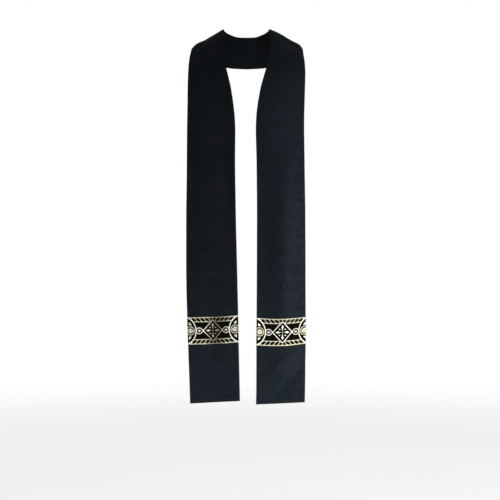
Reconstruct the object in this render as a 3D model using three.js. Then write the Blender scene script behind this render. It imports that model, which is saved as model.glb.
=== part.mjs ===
import * as THREE from "three";

// A clergy stole in the form it takes when worn, in millimetres, +Z up and the front towards -Y.
// The origin is the middle of the neck hollow, level with the top of the stole beside the neck.

// Cloth and trim
const clothThickness = 2.0;
const galloonThickness = 1.0;
const sewnGap = 0.3;

// The galloon band on each front, measured up the middle of the front from the hem
const bandAboveHem = 188;
const bandHeight = 87;

// How finely the walls are divided
const stepsAcross = 12;
const stepsPerSection = 6;
const bandSteps = 4;

// One half is a strip from the seam at the nape, over a shoulder and down a front to the hem.
// Each section is a line across the strip, from its edge beside the neck to its outer edge.
// Both halves share the yoke. X is the distance from the middle, and crown is how far the
// middle of the section stands out from the straight line between its edges.
const yoke = [
  { at: "nape seam", inner: [0, 73, -16], outer: [0, 108, -118], crown: 3 },
  { at: "back of the neck", inner: [31, 69, -15], outer: [63, 103, -114], crown: 3 },
  { at: "shoulder blade", inner: [57, 48, -9], outer: [120, 80, -98], crown: 4 },
  { at: "behind the shoulder", inner: [71, 23, -4], outer: [160, 42, -77], crown: 4 },
];

const leftFront = [
  { at: "shoulder line", inner: [76, 0, 0], outer: [182, 0, -68], crown: 8 },
  { at: "over the shoulder", inner: [79, -30, -22], outer: [187, -26, -87], crown: 4 },
  { at: "collar bone", inner: [80, -58, -56], outer: [191, -44, -112], crown: 5 },
  { at: "top of the chest", inner: [74, -82, -102], outer: [193, -57, -147], crown: 7 },
  { at: "chest", inner: [61, -100, -153], outer: [192, -66, -187], crown: 8 },
  { at: "breast", inner: [43, -113, -222], outer: [190, -74, -243], crown: 8 },
  { at: "under the breast", inner: [31, -121, -320], outer: [188, -81, -328], crown: 8 },
  { at: "waist", inner: [33, -127, -455], outer: [189, -90, -455], crown: 7 },
  { at: "hip", inner: [35, -133, -634], outer: [191, -100, -633], crown: 7 },
  { at: "thigh", inner: [34, -139, -839], outer: [191, -110, -839], crown: 6 },
  { at: "under the band", inner: [32, -145, -1036], outer: [191, -119, -1032], crown: 4 },
  { at: "hem", inner: [31, -150, -1222], outer: [188, -126, -1218], crown: 3 },
];

const rightFront = [
  { at: "shoulder line", inner: [77, 0, 0], outer: [177, 0, -66], crown: 2 },
  { at: "over the shoulder", inner: [77, -30, -24], outer: [183, -24, -82], crown: 3 },
  { at: "collar bone", inner: [80, -58, -59], outer: [188, -44, -112], crown: 3 },
  { at: "top of the chest", inner: [75, -82, -102], outer: [190, -57, -147], crown: 3 },
  { at: "chest", inner: [62, -100, -153], outer: [191, -66, -187], crown: 3 },
  { at: "breast", inner: [47, -113, -222], outer: [191, -74, -243], crown: 2 },
  { at: "under the breast", inner: [36, -121, -320], outer: [192, -81, -328], crown: 2 },
  { at: "waist", inner: [36, -127, -455], outer: [192, -90, -455], crown: 2 },
  { at: "hip", inner: [33, -133, -633], outer: [194, -100, -634], crown: 2 },
  { at: "thigh", inner: [28, -139, -835], outer: [193, -110, -840], crown: 2 },
  { at: "under the band", inner: [24, -145, -1023], outer: [187, -119, -1033], crown: 2 },
  { at: "hem", inner: [20, -150, -1211], outer: [180, -126, -1222], crown: 3 },
];

// Soft folds along the strip. from and to are section numbers, counted from 0 at the nape seam.
// across is the place in the width, 0 at the neck edge and 1 at the outer edge, where the fold
// starts and where it ends. breadth is a share of the width, and rise is in millimetres.
// A fold that would end past section 15 still stands at the hem.
const leftFolds = [
  { from: 10.2, to: 15.2, across: [0.56, 0.52], breadth: 0.24, rise: 9 },
  { from: 10.8, to: 14.4, across: [0.19, 0.20], breadth: 0.12, rise: -3 },
  { from: 1.2, to: 4.4, across: [0.66, 0.50], breadth: 0.15, rise: -4 },
  { from: 2.2, to: 5.8, across: [0.88, 0.88], breadth: 0.16, rise: 6 },
];

const rightFolds = [
  { from: 7.0, to: 13.4, across: [0.72, 0.66], breadth: 0.18, rise: 3 },
  { from: 8.0, to: 13.8, across: [0.22, 0.20], breadth: 0.16, rise: -3 },
  { from: 12.8, to: 16.2, across: [0.48, 0.44], breadth: 0.24, rise: -6 },
  { from: 0.8, to: 3.8, across: [0.58, 0.46], breadth: 0.14, rise: -3 },
  { from: 2.2, to: 5.8, across: [0.84, 0.84], breadth: 0.17, rise: 5 },
];

const blackDamask = { color: 0x14181d, roughness: 0.72, metalness: 0.0 };
const goldGalloon = { color: 0xcdbd8c, roughness: 0.5, metalness: 0.35 };

// A smooth rise and fall, 0 at both ends of a stretch and 1 half way
function swell(place, from, to) {
  const share = THREE.MathUtils.clamp((place - from) / (to - from), 0, 1);
  return Math.sin(Math.PI * share) ** 2;
}

// Height of all folds at one place on the strip
function foldHeight(folds, section, across) {
  let height = 0;
  for (const fold of folds) {
    const share = THREE.MathUtils.clamp((section - fold.from) / (fold.to - fold.from), 0, 1);
    const middle = THREE.MathUtils.lerp(fold.across[0], fold.across[1], share);
    const offset = (across - middle) / fold.breadth;
    height += fold.rise * swell(section, fold.from, fold.to) * Math.exp(-offset * offset);
  }
  return height;
}

// One half of the stole as smooth edges, its crown and its folds.
// side is 1 for the half at +X and -1 for the half at -X.
class Half {
  constructor(side, front, folds) {
    this.side = side;
    this.folds = folds;
    this.sections = [...yoke, ...front];
    this.inner = this.smooth((section) => section.inner);
    this.outer = this.smooth((section) => section.outer);
    this.middle = this.smooth(({ inner, outer }) => inner.map((value, axis) => (value + outer[axis]) / 2));
    this.crown = this.smooth(({ crown }) => [crown, 0, 0]);
  }

  smooth(pick) {
    const points = this.sections.map((section) => {
      const [x, y, z] = pick(section);
      return new THREE.Vector3(x, y, z);
    });
    return new THREE.CatmullRomCurve3(points, false, "catmullrom", 0.5);
  }

  // Share of the way from nape to hem, for a distance up the middle from the hem
  shareAboveHem(distance) {
    return this.middle.getUtoTmapping(0, this.middle.getLength() - distance);
  }

  // A point on the face of the cloth. Half of the gap at the nape lies on each side of the middle.
  point(share, across) {
    const inner = this.inner.getPoint(share);
    const outer = this.outer.getPoint(share);
    const line = new THREE.Vector3().subVectors(outer, inner);
    const outward = new THREE.Vector3().crossVectors(this.middle.getTangent(share), line).normalize();
    const arch = 4 * across * (1 - across) * this.crown.getPoint(share).x;
    const fold = foldHeight(this.folds, share * (this.sections.length - 1), across);
    const place = inner.addScaledVector(line, across).addScaledVector(outward, arch + fold);
    place.x = this.side * (place.x + sewnGap / 2);
    return place;
  }

  // The direction straight out of the cloth, level with the seam where the halves meet
  outward(share, across) {
    const reach = 0.002;
    const up = this.point(Math.max(share - reach, 0), across);
    const down = this.point(Math.min(share + reach, 1), across);
    const near = this.point(share, Math.max(across - reach, 0));
    const far = this.point(share, Math.min(across + reach, 1));
    const normal = new THREE.Vector3().crossVectors(down.sub(up), far.sub(near)).multiplyScalar(this.side);
    if (share === 0) {
      normal.x = 0;
    }
    return normal.normalize();
  }
}

// A closed wall over a stretch of the half. near and far are how far its two faces
// stand out from the face of the cloth.
function wall(half, shares, near, far) {
  const columns = stepsAcross + 1;
  const count = shares.length * columns;
  const places = [];
  for (const height of [far, near]) {
    for (const share of shares) {
      for (let column = 0; column < columns; column += 1) {
        const across = column / stepsAcross;
        const place = half.point(share, across);
        place.addScaledVector(half.outward(share, across), height);
        places.push(place.x, place.y, place.z);
      }
    }
  }

  const faces = [];
  const quad = (a, b, c, d) => {
    faces.push(...(half.side > 0 ? [a, b, c, a, c, d] : [a, c, b, a, d, c]));
  };
  const lastRow = shares.length - 1;
  for (let row = 0; row < lastRow; row += 1) {
    for (let column = 0; column < stepsAcross; column += 1) {
      const a = row * columns + column;
      quad(a, a + columns, a + columns + 1, a + 1);
      quad(count + a, count + a + 1, count + a + columns + 1, count + a + columns);
    }
    const neckSide = row * columns;
    const outerSide = neckSide + stepsAcross;
    quad(neckSide, count + neckSide, count + neckSide + columns, neckSide + columns);
    quad(outerSide, outerSide + columns, count + outerSide + columns, count + outerSide);
  }
  for (let column = 0; column < stepsAcross; column += 1) {
    const bottom = lastRow * columns + column;
    quad(column, column + 1, count + column + 1, count + column);
    quad(bottom, count + bottom, count + bottom + 1, bottom + 1);
  }

  const geometry = new THREE.BufferGeometry();
  geometry.setAttribute("position", new THREE.Float32BufferAttribute(places, 3));
  geometry.setIndex(faces);
  geometry.computeVertexNormals();
  return geometry;
}

// Even steps from one share of the length to another
function evenShares(from, to, steps) {
  return Array.from({ length: steps + 1 }, (_, step) => THREE.MathUtils.lerp(from, to, step / steps));
}

function strip(name, half) {
  const shares = evenShares(0, 1, stepsPerSection * (half.sections.length - 1));
  const mesh = new THREE.Mesh(wall(half, shares, -clothThickness, 0), new THREE.MeshStandardMaterial(blackDamask));
  mesh.name = name;
  return mesh;
}

function band(name, half) {
  const top = half.shareAboveHem(bandAboveHem + bandHeight);
  const bottom = half.shareAboveHem(bandAboveHem);
  const shares = evenShares(top, bottom, bandSteps);
  const geometry = wall(half, shares, sewnGap, sewnGap + galloonThickness);
  const mesh = new THREE.Mesh(geometry, new THREE.MeshStandardMaterial(goldGalloon));
  mesh.name = name;
  return mesh;
}

const leftHalf = new Half(1, leftFront, leftFolds);
const rightHalf = new Half(-1, rightFront, rightFolds);

const stole = new THREE.Group();
stole.add(strip("left_half", leftHalf));
stole.add(strip("right_half", rightHalf));
stole.add(band("left_band", leftHalf));
stole.add(band("right_band", rightHalf));

export default stole;
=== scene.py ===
import math

import bmesh
import bpy
import numpy as np
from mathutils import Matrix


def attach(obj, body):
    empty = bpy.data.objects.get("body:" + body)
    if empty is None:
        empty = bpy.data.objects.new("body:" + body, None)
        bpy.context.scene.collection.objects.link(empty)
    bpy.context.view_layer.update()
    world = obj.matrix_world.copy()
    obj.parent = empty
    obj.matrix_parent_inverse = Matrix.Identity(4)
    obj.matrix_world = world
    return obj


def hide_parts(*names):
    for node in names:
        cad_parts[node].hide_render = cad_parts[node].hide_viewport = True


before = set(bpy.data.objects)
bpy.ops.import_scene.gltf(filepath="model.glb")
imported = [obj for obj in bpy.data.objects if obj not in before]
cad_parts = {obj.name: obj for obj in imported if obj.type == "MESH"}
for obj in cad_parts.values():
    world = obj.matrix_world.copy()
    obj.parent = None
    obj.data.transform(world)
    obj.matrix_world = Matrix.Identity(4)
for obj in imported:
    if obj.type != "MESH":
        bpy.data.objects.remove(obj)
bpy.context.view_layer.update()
print("stole: frame loaded with", ", ".join(sorted(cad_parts)))

# Lengths are metres, apart from the sections. A half of the stole is a strip from the seam at
# the nape, over a shoulder and down a front. "share" runs from 0 at the nape to 1 at the hem,
# "across" from 0 at the edge beside the neck to 1 at the outer edge.

# Lines across the strip in millimetres: x, y, z of both ends, and how far the middle stands out
yokeSections = [
    # neck edge       outer edge        crown
    (0, 73, -16,      0, 108, -118,     3),  # nape seam
    (31, 69, -15,     63, 103, -114,    3),  # back of the neck
    (57, 48, -9,      120, 80, -98,     4),  # shoulder blade
    (71, 23, -4,      160, 42, -77,     4),  # behind the shoulder
]

leftSections = yokeSections + [
    (76, 0, 0,        182, 0, -68,      8),  # shoulder line
    (79, -30, -22,    187, -26, -87,    4),  # over the shoulder
    (80, -58, -56,    191, -44, -112,   5),  # collar bone
    (74, -82, -102,   193, -57, -147,   7),  # top of the chest
    (61, -100, -153,  192, -66, -187,   8),  # chest
    (43, -113, -222,  190, -74, -243,   8),  # breast
    (31, -121, -320,  188, -81, -328,   8),  # under the breast
    (33, -127, -455,  189, -90, -455,   7),  # waist
    (35, -133, -634,  191, -100, -633,  7),  # hip
    (34, -139, -839,  191, -110, -839,  6),  # thigh
    (32, -145, -1036, 191, -119, -1032, 4),  # under the band
    (31, -150, -1222, 188, -126, -1218, 3),  # hem
]

rightSections = yokeSections + [
    (77, 0, 0,        177, 0, -66,      2),  # shoulder line
    (77, -30, -24,    183, -24, -82,    3),  # over the shoulder
    (80, -58, -59,    188, -44, -112,   3),  # collar bone
    (75, -82, -102,   190, -57, -147,   3),  # top of the chest
    (62, -100, -153,  191, -66, -187,   3),  # chest
    (47, -113, -222,  191, -74, -243,   2),  # breast
    (36, -121, -320,  192, -81, -328,   2),  # under the breast
    (36, -127, -455,  192, -90, -455,   2),  # waist
    (33, -133, -633,  194, -100, -634,  2),  # hip
    (28, -139, -835,  193, -110, -840,  2),  # thigh
    (24, -145, -1023, 187, -119, -1033, 2),  # under the band
    (20, -150, -1211, 180, -126, -1222, 3),  # hem
]

# Broad folds that run down the strip, between two section numbers
leftFolds = [
    # from, to,   across at both ends,  breadth as a share,  rise
    (10.2, 15.2,  0.56, 0.52,           0.24,                0.009),
    (10.8, 14.4,  0.19, 0.20,           0.12,               -0.003),
    (1.2, 4.4,    0.66, 0.50,           0.15,               -0.004),
    (2.2, 5.8,    0.88, 0.88,           0.16,                0.006),
]

rightFolds = [
    (7.0, 13.4,   0.72, 0.66,           0.18,                0.003),
    (8.0, 13.8,   0.22, 0.20,           0.16,               -0.003),
    (12.8, 16.2,  0.48, 0.44,           0.24,               -0.006),
    (0.8, 3.8,    0.58, 0.46,           0.14,               -0.003),
    (2.2, 5.8,    0.84, 0.84,           0.17,                0.005),
]

# Creases laid over the folds, from one place on the strip to another
leftCreases = [
    # height above the hem and across at one end, then at the other, breadth, rise
    (1.205, 0.10,   0.960, 0.58,   0.011,   0.0013),
    (1.120, 0.30,   0.900, 0.86,   0.014,  -0.0012),
    (1.030, 0.05,   0.860, 0.30,   0.009,   0.0008),
    (0.830, 0.92,   0.640, 0.72,   0.012,  -0.0010),
    (0.740, 0.00,   0.250, 0.00,   0.022,  -0.0046),
    (0.215, -0.02, -0.020, -0.02,  0.028,   0.0048),
    (0.560, 0.86,   0.330, 0.90,   0.009,   0.0008),
    (0.430, 0.44,   0.290, 0.36,   0.013,  -0.0008),
    (0.215, 1.00,   0.015, -0.12,  0.024,   0.0032),
    (0.175, 1.20,  -0.030, 0.16,   0.022,  -0.0030),
    (1.395, 0.25,   1.270, 0.62,   0.010,   0.0011),
    (1.350, 0.08,   1.245, 0.22,   0.008,  -0.0009),
    (1.330, 0.80,   1.200, 0.90,   0.010,   0.0009),
]

rightCreases = [
    (1.190, 0.16,   0.985, 0.72,   0.012,  -0.0012),
    (1.100, 0.08,   0.930, 0.40,   0.010,   0.0011),
    (0.980, 0.90,   0.800, 0.66,   0.011,   0.0008),
    (0.790, 0.20,   0.590, 0.10,   0.010,  -0.0009),
    (0.960, 1.00,   0.540, 1.02,   0.020,   0.0022),
    (0.660, 0.60,   0.430, 0.52,   0.014,   0.0010),
    (0.510, 0.94,   0.350, 0.80,   0.010,  -0.0008),
    (0.480, 0.26,   0.030, 0.28,   0.019,   0.0027),
    (0.450, 0.56,   0.020, 0.60,   0.019,  -0.0024),
    (0.170, 0.80,   0.040, 0.90,   0.012,   0.0010),
    (1.405, 0.40,   1.290, 0.74,   0.010,  -0.0010),
    (1.340, 0.14,   1.220, 0.10,   0.008,   0.0009),
    (1.300, 0.55,   1.180, 0.80,   0.012,   0.0008),
]

drape = {
    "creaseSwing": 0.035,  # how far a crease wanders sideways, as a share of the width
    "waveHeight": 0.0006,  # long shallow waves
    "rippleHeight": 0.00025,  # shorter ones that cross them
    "calmLength": 0.05,  # the waves start this far from the seam at the nape
    "seamShare": 0.02,  # where the halves turn into one line at the nape
    "rulers": 2401,  # lines across the strip that it is measured on
}


def splineAt(points, share):
    # Uniform Catmull-Rom through the rows of points. Between b and c at w it is half of
    # 2b + (c - a)w + (2a - 5b + 4c - d)w^2 + (3b - a - 3c + d)w^3, run straight on past the ends.
    rows = np.vstack([2 * points[0] - points[1], points, 2 * points[-1] - points[-2]])
    place = np.clip(share, 0, 1) * (len(points) - 1)
    index = np.minimum(place.astype(int), len(points) - 2)
    w = (place - index)[..., None]
    a, b, c, d = (rows[index + step] for step in range(4))
    square, cube = 2 * a - 5 * b + 4 * c - d, 3 * b - a - 3 * c + d
    return 0.5 * (2 * b + (c - a) * w + square * w**2 + cube * w**3)


def unit(vectors):
    # Each vector over its own length
    return vectors / np.linalg.norm(vectors, axis=-1, keepdims=True)


def smoothStep(value, low, high):
    # 3t^2 - 2t^3, with t going from 0 at low to 1 at high
    t = np.clip((value - low) / (high - low), 0, 1)
    return t * t * (3 - 2 * t)


class StripHalf:
    # One half: side is 1 at +X and -1 at -X
    def __init__(self, side, sections, folds, creases):
        self.side = side
        self.sections = np.array(sections) / 1000  # metres
        self.folds = folds
        self.creases = creases
        self.rulers = np.linspace(0, 1, drape["rulers"])
        neckEdge, outerEdge, _ = self.edges(self.rulers)
        middle = (neckEdge + outerEdge) / 2
        steps = np.linalg.norm(np.diff(middle, axis=0), axis=1)
        self.run = np.concatenate([[0], np.cumsum(steps)])
        self.length = self.run[-1]
        self.layFlat(neckEdge, outerEdge)

    def edges(self, share):
        # Both ends of the line across the strip, and its crown
        rows = splineAt(self.sections, np.asarray(share, dtype=float))
        return rows[..., 0:3], rows[..., 3:6], rows[..., 6]

    def shareAt(self, aboveHem):
        # From a height up the middle of the strip to a share, and back
        return np.interp(self.length - np.asarray(aboveHem), self.run, self.rulers)

    def aboveHem(self, share):
        return self.length - np.interp(share, self.rulers, self.run)

    def width(self, share):
        neckEdge, outerEdge, _ = self.edges(share)
        return np.linalg.norm(outerEdge - neckEdge, axis=-1)

    def layFlat(self, neckEdge, outerEdge):
        # The cut: the strip unrolled line by line. Each step forward turns by how much farther
        # the outer edge goes than the neck edge, over the width.
        line = outerEdge - neckEdge
        width = np.linalg.norm(line, axis=1)
        across = unit(line)
        between = unit(across[1:] + across[:-1])
        goneIn, goneOut = np.diff(neckEdge, axis=0), np.diff(outerEdge, axis=0)
        slide = np.sum(goneIn * between, axis=1)
        forwardIn = np.linalg.norm(goneIn - slide[:, None] * between, axis=1)
        slideOut = np.sum(goneOut * between, axis=1)
        forwardOut = np.linalg.norm(goneOut - slideOut[:, None] * between, axis=1)
        turnSteps = (forwardOut - forwardIn) / ((width[1:] + width[:-1]) / 2)
        turn = np.concatenate([[0], np.cumsum(turnSteps)])
        turn -= turn[-1]  # the front hangs straight down the cloth's grain
        half = (turn[1:] + turn[:-1]) / 2
        step = np.stack([slide * np.cos(half) + forwardIn * np.sin(half),
                         slide * np.sin(half) - forwardIn * np.cos(half)], axis=1)
        flatIn = np.vstack([[0, 0], np.cumsum(step, axis=0)])
        flatOut = flatIn + width[:, None] * np.stack([np.cos(turn), np.sin(turn)], axis=1)
        hemMiddle = (flatIn[-1] + flatOut[-1]) / 2
        self.flatIn, self.flatOut = flatIn - hemMiddle, flatOut - hemMiddle
        outline = np.vstack([self.flatIn, self.flatOut[::-1]])
        nextPoint = np.roll(outline, -1, axis=0)
        twice = outline[:, 0] * nextPoint[:, 1] - outline[:, 1] * nextPoint[:, 0]
        self.cutArea = abs(np.sum(twice)) / 2
        self.cutSize = outline.max(axis=0) - outline.min(axis=0)

    def flatPlace(self, share, across):
        # Where a place on the strip lies on the flat cut
        corner = [np.interp(share, self.rulers, edge[:, axis])
                  for edge in (self.flatIn, self.flatOut) for axis in (0, 1)]
        x = corner[0] + across * (corner[2] - corner[0])
        y = corner[1] + across * (corner[3] - corner[1])
        return np.stack([self.side * x, y], axis=-1)

    def relief(self, share, across):
        # Sum of the folds, sin squared along and a bell across, of the creases, the same with sin
        # to 1.5 about a slanting line, and of two products of slow sines of uneven pitch
        section = share * (len(self.sections) - 1)
        height = np.zeros(np.broadcast(share, across).shape)
        for start, end, first, last, breadth, rise in self.folds:
            along = np.clip((section - start) / (end - start), 0, 1)
            centre = first + (last - first) * along
            bell = np.exp(-((across - centre) / breadth)**2)
            height = height + rise * np.sin(np.pi * along)**2 * bell
        up, width = self.aboveHem(share), self.width(share)
        for upA, acrossA, upB, acrossB, breadth, rise in self.creases:
            along = np.clip((up - upA) / (upB - upA), 0, 1)
            swing = drape["creaseSwing"] * np.sin(2.6 * np.pi * along)
            centre = acrossA + (acrossB - acrossA) * along + swing
            bell = np.exp(-((across - centre) * width / breadth)**2)
            height = height + rise * np.sin(np.pi * along)**1.5 * bell
        wave = np.sin(23 * up + 1.7 * self.side) * np.sin(5.2 * across + 9 * up + self.side)
        ripple = np.sin(61 * up + 2.1 * across) * np.cos(8.3 * across - 31 * up + 0.7 * self.side)
        fromSeam = smoothStep(self.length - up, 0, drape["calmLength"])
        return height + fromSeam * (drape["waveHeight"] * wave + drape["rippleHeight"] * ripple)

    def place(self, share, across):
        # Neck edge + across * (line to the outer edge) + outward * (crown arch + relief)
        neckEdge, outerEdge, crown = self.edges(share)
        line = outerEdge - neckEdge
        small = 0.0001
        before = self.edges(share - small)
        after = self.edges(share + small)
        outward = np.cross(after[0] + after[1] - before[0] - before[1], line)
        outward[..., 0] *= smoothStep(share, 0, drape["seamShare"])
        outward = unit(outward)
        arch = 4 * across * (1 - across) * crown
        height = arch + self.relief(share, across)
        spot = neckEdge + across[..., None] * line + height[..., None] * outward
        return spot * np.array([self.side, 1, 1])

    def frameAt(self, share, across):
        # Place, straight out, along towards the hem and across, from small steps each way
        small = 0.0008
        spot = self.place(share, across)
        down, up = np.minimum(share + small, 1), np.maximum(share - small, 0)
        far, near = np.minimum(across + small, 1), np.maximum(across - small, 0)
        along = self.place(down, across) - self.place(up, across)
        over = self.place(share, far) - self.place(share, near)
        outward = self.side * np.cross(along, over)
        outward[..., 0] = np.where(share <= 0, 0, outward[..., 0])
        return spot, unit(outward), unit(along), unit(over)


leftHalf = StripHalf(1, leftSections, leftFolds, leftCreases)
rightHalf = StripHalf(-1, rightSections, rightFolds, rightCreases)
for label, half in (("left", leftHalf), ("right", rightHalf)):
    print("stole:", label, "half cut", np.round(half.cutSize, 3), "m, area",
          round(half.cutArea, 4), "m2, length", round(half.length, 3), "m")


# Meshes from grids

weldReach = 0.000002

def gridQuads(rows, columns, flip=False):
    # The four corners of every cell of a grid, the other way round where flip is set
    index = np.arange(rows * columns).reshape(rows, columns)
    corners = [index[:-1, :-1], index[1:, :-1], index[1:, 1:], index[:-1, 1:]]
    quads = np.stack(corners, axis=-1).reshape(-1, 4)
    return quads[:, ::-1] if flip else quads


def buildMesh(name, vertices, quads, uvs=None, slots=None, attributes=None, weld=0.0):
    # Points nearer than weld are made one
    mesh = bpy.data.meshes.new(name)
    mesh.from_pydata(vertices.tolist(), [], quads.tolist())
    if slots is not None:
        mesh.polygons.foreach_set("material_index", slots.astype(np.int32))
    if uvs is not None:
        corners = np.empty(len(mesh.loops), dtype=np.int32)
        mesh.loops.foreach_get("vertex_index", corners)
        layer = mesh.uv_layers.new(name="cut")
        layer.data.foreach_set("uv", uvs[corners].astype(np.float32).ravel())
    for key, values in (attributes or {}).items():
        mesh.attributes.new(key, "FLOAT", "POINT").data.foreach_set("value", values.astype(np.float32))
    if weld:
        shell = bmesh.new()
        shell.from_mesh(mesh)
        bmesh.ops.remove_doubles(shell, verts=shell.verts, dist=weld)
        shell.to_mesh(mesh)
        shell.free()
    mesh.polygons.foreach_set("use_smooth", np.ones(len(mesh.polygons), dtype=bool))
    mesh.update()
    thing = bpy.data.objects.new(name, mesh)
    bpy.context.scene.collection.objects.link(thing)
    return thing


# Cloth of the two halves

clothMake = {
    "thickness": 0.0020,  # damask, interlining and lining together
    "edgeRound": 0.0011,
    "allowance": 0.0125,  # the turned-in edge, felt as a low step
    "allowanceRise": 0.00022,
    "ease": 0.001,
    "edgeCalm": 0.003,  # the step and the dip fade out this near the edge
    "topstitchIn": 0.0050,  # the line of stitches, in from the edge
    "topstitchSink": 0.00034,
    "topstitchBreadth": 0.0009,
    "puckerDepth": 0.00014,
    "puckerPitch": 0.0118,
    "puckerBreadth": 0.006,
    "puckerCalm": 0.002,
    "seamCalm": 0.01,
    "seamWidth": 0.0013,  # the mitred seam, seen as a groove on both faces
    "seamSink": 0.42,
    "rowStep": 0.0034,
    "middleColumns": 38,
}

# Rows and columns lie close together where the edge, the stitches and the low step are
nearEdge = np.array([0, 0.0001, 0.0004, 0.0008, 0.0014, 0.0022, 0.0032, 0.0041, 0.0046, 0.0050,
                     0.0054, 0.0059, 0.0070, 0.0088, 0.0108, 0.0118, 0.0128, 0.0140, 0.0160])
nearSeam = np.array([0.0022, 0.0014, 0.0008, 0.0004, 0.0001, 0])


def columnPlaces(width):
    # Distances from the neck edge: close together near both edges, even between
    near = np.broadcast_to(nearEdge, width.shape + nearEdge.shape)
    spread = np.linspace(0, 1, clothMake["middleColumns"] + 2)[1:-1]
    inner = nearEdge[-1] + spread * (width[..., None] - 2 * nearEdge[-1])
    return np.concatenate([near, inner, width[..., None] - near[..., ::-1]], axis=-1)


def edgeProfile(gap):
    # Half thickness at a distance from the nearest edge: a quarter round, a low step where the
    # turned edge ends, and a dip under the stitches
    make = clothMake
    q = np.clip(gap / make["edgeRound"], 0, 1)
    rounded = make["thickness"] / 2 * np.sqrt(1 - (1 - q)**2)
    low, high = make["allowance"] - make["ease"], make["allowance"] + make["ease"]
    step = make["allowanceRise"] * (1 - smoothStep(gap, low, high))
    dip = make["topstitchSink"] * np.exp(-((gap - make["topstitchIn"]) / make["topstitchBreadth"])**2)
    return rounded + np.minimum(gap / make["edgeCalm"], 1) * (step - dip)


def clothShell(name, half):
    # Two faces at plus and minus the half thickness from the middle of the wall, welded where
    # the thickness runs out at the edges and joined by an end strip at the seam
    make = clothMake
    evenRows = np.arange(nearEdge[-1], half.length - 0.003, make["rowStep"])
    up = np.concatenate([nearEdge[:-1], evenRows, half.length - nearSeam])
    share = half.shareAt(up[::-1])[:, None]
    width = half.width(share[:, 0])
    distance = columnPlaces(width)
    across = distance / width[:, None]
    share = np.broadcast_to(share, across.shape)
    spot, outward, _, _ = half.frameAt(share, across)
    sideGap = np.minimum(distance, width[:, None] - distance)
    aboveHem = np.broadcast_to(up[::-1][:, None], across.shape)
    gap = np.minimum(sideGap, aboveHem)
    seamGroove = 1 - make["seamSink"] * np.exp(-((half.length - aboveHem) / make["seamWidth"])**2)
    thick = edgeProfile(gap) * seamGroove
    # Along the stitches the cloth draws up: a sine of uneven pitch, a bell about the row
    phase = 2 * np.pi * aboveHem / make["puckerPitch"] + 1.3 * np.sin(aboveHem * 37)
    pucker = make["puckerDepth"] * np.sin(phase)
    bell = np.exp(-((sideGap - make["topstitchIn"]) / make["puckerBreadth"])**2)
    pucker = pucker * bell * np.minimum(sideGap / make["puckerCalm"], 1)
    pucker = pucker * smoothStep(half.length - aboveHem, 0, make["seamCalm"])
    middle = spot - outward * make["thickness"] / 2
    face = middle + outward * (thick + pucker)[..., None]
    back = middle - outward * (thick - pucker)[..., None]
    rows, columns = across.shape
    flip = half.side < 0
    seam = np.arange(columns - 1)
    behind = rows * columns
    endStrip = np.stack([seam, seam + 1, seam + 1 + behind, seam + behind], axis=-1)
    quads = np.vstack([gridQuads(rows, columns, flip), gridQuads(rows, columns, not flip) + behind,
                       endStrip[:, ::-1] if flip else endStrip])
    uvs = np.tile(half.flatPlace(share, across).reshape(-1, 2), (2, 1))
    cells = (rows - 1) * (columns - 1)
    slots = np.repeat([0, 1, 1], [cells, cells, columns - 1])
    vertices = np.vstack([face.reshape(-1, 3), back.reshape(-1, 3)])
    return buildMesh(name, vertices, quads, uvs, slots, weld=weldReach)


# Galloon bands. The figure is a distance to the edge of the gold: under 0 gold, over 0 black.

galloon = {
    "aboveHem": 0.188,
    "height": 0.087,
    "clearance": 0.0003,
    "thickness": 0.0010,
    "relief": 0.00024,
    "reliefEdge": (-0.0003, 0.0006),
    "edgeRound": 0.0008,
    "endWrap": 0.0010,  # how far the ends turn down over the edges of the cloth
    "endWrapLength": 0.0022,
    "columns": 256,
    "rows": 142,
    # The last two entries of each band are painted shade: how deep the gold is darkened where the band
    # turns away from the light, and the middle of that patch as a share across the band
    "left": {"shift": 0.0022, "sag": 0.0048, "lean": 1.0, "paintedShade": 0.25, "shadeAcross": 0.87},
    "right": {"shift": 0.0004, "sag": 0.0019, "lean": 0.85, "paintedShade": 1.0, "shadeAcross": 0.43},
    "shadeBreadth": 0.17,  # painted shade: a patch where the gold is darkened because the band turns away from the light, as a share of the width
    "shadeSwing": 0.04,
}

# One quarter of the figure, from the middle of the lozenge
motif = {
    "lozenge": (0.0311, 0.0339),  # half width and half height
    "lozengeLine": 0.0011,
    "lozengeGap": 0.0024,  # the dark line round the lozenge
    "lozengeGapTop": 0.0362,
    "crossUp": (0.0168, 0.0078, 0.0043),  # head of an arm: place, half length and half width
    "crossSide": (0.0148, 0.0076, 0.0046),
    "crossUpStem": (0.0110, 0.0052),  # place and half length
    "crossSideStem": (0.0105, 0.0044),
    "stemHalf": 0.0010,
    "headPower": 0.80,
    "bead": (0.0090, 0.0096, 0.0020),  # x, y and radius
    "beadGap": 0.0023,
    "middleBead": 0.0017,
    "drop": (0.0438, 0.0107, 0.0288),  # middle, radius and point
    "dropLine": (0.0013, 0.00115),  # how far in, and half its breadth
    "eye": (0.0440, 0.0034, 0.0380),
    "eyeHole": (0.0442, 0.0009),  # middle and radius
    "roundelX": 0.0988,
    "roundelEdge": 0.0466,
    "ring": (0.0448, 0.00145),  # radius and half its breadth
    "shell": (0.0262, 0.0129, 0.0014),  # place, radius and half its breadth
    "bud": (0.0094, 0.0080, 1.45),  # half length, half width and power
    "slit": (0.0004, 0.0006, 0.0300),  # place, half breadth and end
    "leaf": (0.0212, 0.0184, 0.0490),  # its two straight sides and the slanting one
    "ropeMiddle": 0.0087,
    "ropePitch": 0.0142,
    "ropeSlant": 0.80,
    "ropeStart": 0.0035,
    "ropeDash": (0.0060, 0.0057),  # half length and half height
    "borderHeight": 0.0165,
    "budTone": 0.6,
    "toneReach": 0.0002,  # the tone of a line reaches this far past its edge
}


def discAt(x, y, centreX, centreY, radius):
    # Distance to the middle, less the radius
    return np.hypot(x - centreX, y - centreY) - radius


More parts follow.
